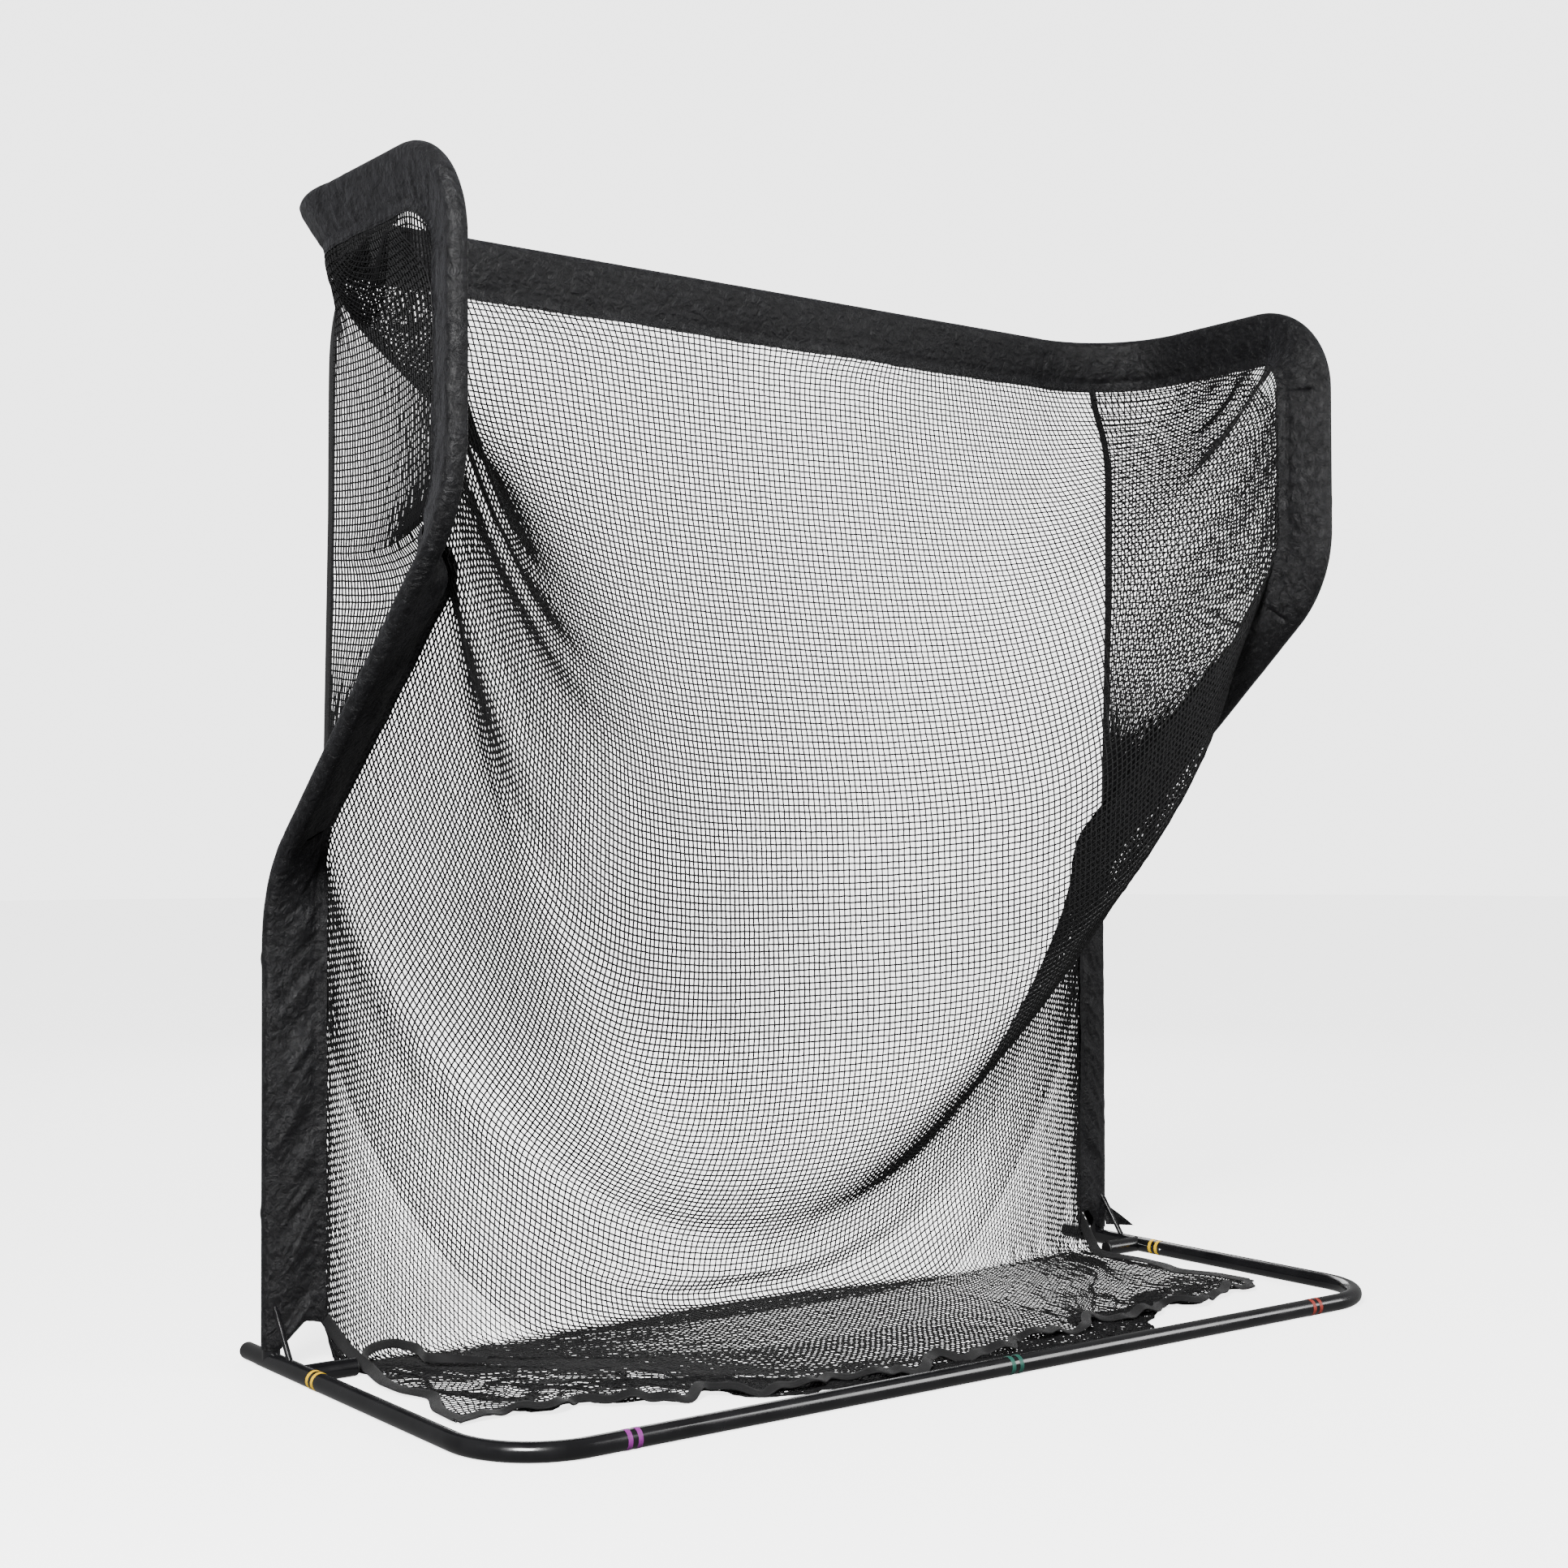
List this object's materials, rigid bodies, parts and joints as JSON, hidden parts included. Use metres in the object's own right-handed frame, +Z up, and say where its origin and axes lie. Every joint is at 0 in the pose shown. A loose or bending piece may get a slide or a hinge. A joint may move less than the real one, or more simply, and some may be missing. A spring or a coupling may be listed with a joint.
{
  "type": "rebounder net",
  "caption": "Free-standing ball return net: plug-together tube frame with a hanging net, side wings and a floor apron that rolls balls back to the player.",
  "frame": {"origin": "middle of the bounding box on the floor", "axes": "+Z up, -Y towards the player, +X to the right when looking from behind the player towards +Y"},
  "size_m": [2.4464, 1.1106, 2.4282],
  "materials": {
    "black_tube": "gloss black powder coat",
    "button_steel": "bright",
    "spring_steel": "plain",
    "cap_plastic": "moulded",
    "rings_yellow": "vinyl tape",
    "rings_purple": "vinyl tape",
    "rings_green": "vinyl tape",
    "rings_red": "vinyl tape",
    "sleeve_nylon": "coated woven nylon",
    "netting": "knotless twine",
    "webbing": "woven webbing"
  },
  "bodies": {
    "frame": {"base_tee_left": "black_tube", "base_tee_right": "black_tube", "base_corner_left": "black_tube", "base_corner_right": "black_tube", "front_rail_left": "black_tube", "front_rail_right": "black_tube", "upright_left": "black_tube", "upright_right": "black_tube", "offset_tube_left": "black_tube", "offset_tube_right": "black_tube", "top_corner_left": "black_tube", "top_corner_right": "black_tube", "rear_corner_left": "black_tube", "rear_corner_right": "black_tube", "crossbar_left": "black_tube", "crossbar_right": "black_tube", "spring_clips": "spring_steel", "end_caps": "cap_plastic", "rings_yellow": "rings_yellow", "rings_purple": "rings_purple", "rings_green": "rings_green", "rings_red": "rings_red", "sleeve_crossbar": "sleeve_nylon", "sleeve_top_left": "sleeve_nylon", "sleeve_top_right": "sleeve_nylon", "sleeve_front_left": "sleeve_nylon", "sleeve_front_right": "sleeve_nylon", "sleeve_lean_left": "sleeve_nylon", "sleeve_lean_right": "sleeve_nylon", "sleeve_lower_left": "sleeve_nylon", "sleeve_lower_right": "sleeve_nylon", "net_upper": "netting", "net_lower": "netting", "net_apron": "netting", "wing_net_left": "netting", "wing_net_right": "netting", "wing_cord_left": "webbing", "wing_cord_right": "webbing", "hem_tape": "webbing", "side_tape_left": "webbing", "side_tape_right": "webbing", "tie_strap": "webbing"},
    "button_rail_left": {"button_rail_left": "button_steel"},
    "button_rail_right": {"button_rail_right": "button_steel"},
    "button_corner_left": {"button_corner_left": "button_steel"},
    "button_corner_right": {"button_corner_right": "button_steel"},
    "button_front_centre": {"button_front_centre": "button_steel"},
    "button_stub_left": {"button_stub_left": "button_steel"},
    "button_stub_right": {"button_stub_right": "button_steel"},
    "button_upright_left": {"button_upright_left": "button_steel"},
    "button_upright_right": {"button_upright_right": "button_steel"},
    "button_offset_left": {"button_offset_left": "button_steel"},
    "button_offset_right": {"button_offset_right": "button_steel"},
    "button_top_left": {"button_top_left": "button_steel"},
    "button_top_right": {"button_top_right": "button_steel"},
    "button_rear_left": {"button_rear_left": "button_steel"},
    "button_rear_right": {"button_rear_right": "button_steel"},
    "button_crossbar_centre": {"button_crossbar_centre": "button_steel"}
  },
  "joints": [
    {"name": "press_rail_left", "type": "slide", "parent": "frame", "child": "button_rail_left", "axis": [1, 0, 0], "range_m": [-0.0045, 0], "stiffness_N_per_m": 1500},
    {"name": "press_rail_right", "type": "slide", "parent": "frame", "child": "button_rail_right", "axis": [-1, 0, 0], "range_m": [-0.0045, 0], "stiffness_N_per_m": 1500},
    {"name": "press_corner_left", "type": "slide", "parent": "frame", "child": "button_corner_left", "axis": [0, 1, 0], "range_m": [-0.0045, 0], "stiffness_N_per_m": 1500},
    {"name": "press_corner_right", "type": "slide", "parent": "frame", "child": "button_corner_right", "axis": [0, 1, 0], "range_m": [-0.0045, 0], "stiffness_N_per_m": 1500},
    {"name": "press_front_centre", "type": "slide", "parent": "frame", "child": "button_front_centre", "axis": [0, 1, 0], "range_m": [-0.0045, 0], "stiffness_N_per_m": 1500},
    {"name": "press_stub_left", "type": "slide", "parent": "frame", "child": "button_stub_left", "axis": [-1, 0, 0], "range_m": [-0.0045, 0], "stiffness_N_per_m": 1500},
    {"name": "press_stub_right", "type": "slide", "parent": "frame", "child": "button_stub_right", "axis": [1, 0, 0], "range_m": [-0.0045, 0], "stiffness_N_per_m": 1500},
    {"name": "press_upright_left", "type": "slide", "parent": "frame", "child": "button_upright_left", "axis": [-1, 0, 0], "range_m": [-0.0045, 0], "stiffness_N_per_m": 1500},
    {"name": "press_upright_right", "type": "slide", "parent": "frame", "child": "button_upright_right", "axis": [1, 0, 0], "range_m": [-0.0045, 0], "stiffness_N_per_m": 1500},
    {"name": "press_offset_left", "type": "slide", "parent": "frame", "child": "button_offset_left", "axis": [-1, 0, 0], "range_m": [-0.0045, 0], "stiffness_N_per_m": 1500},
    {"name": "press_offset_right", "type": "slide", "parent": "frame", "child": "button_offset_right", "axis": [1, 0, 0], "range_m": [-0.0045, 0], "stiffness_N_per_m": 1500},
    {"name": "press_top_left", "type": "slide", "parent": "frame", "child": "button_top_left", "axis": [-1, 0, 0], "range_m": [-0.0045, 0], "stiffness_N_per_m": 1500},
    {"name": "press_top_right", "type": "slide", "parent": "frame", "child": "button_top_right", "axis": [1, 0, 0], "range_m": [-0.0045, 0], "stiffness_N_per_m": 1500},
    {"name": "press_rear_left", "type": "slide", "parent": "frame", "child": "button_rear_left", "axis": [0, 1, 0], "range_m": [-0.0045, 0], "stiffness_N_per_m": 1500},
    {"name": "press_rear_right", "type": "slide", "parent": "frame", "child": "button_rear_right", "axis": [0, 1, 0], "range_m": [-0.0045, 0], "stiffness_N_per_m": 1500},
    {"name": "press_crossbar_centre", "type": "slide", "parent": "frame", "child": "button_crossbar_centre", "axis": [0, 1, 0], "range_m": [-0.0045, 0], "stiffness_N_per_m": 1500}
  ]
}
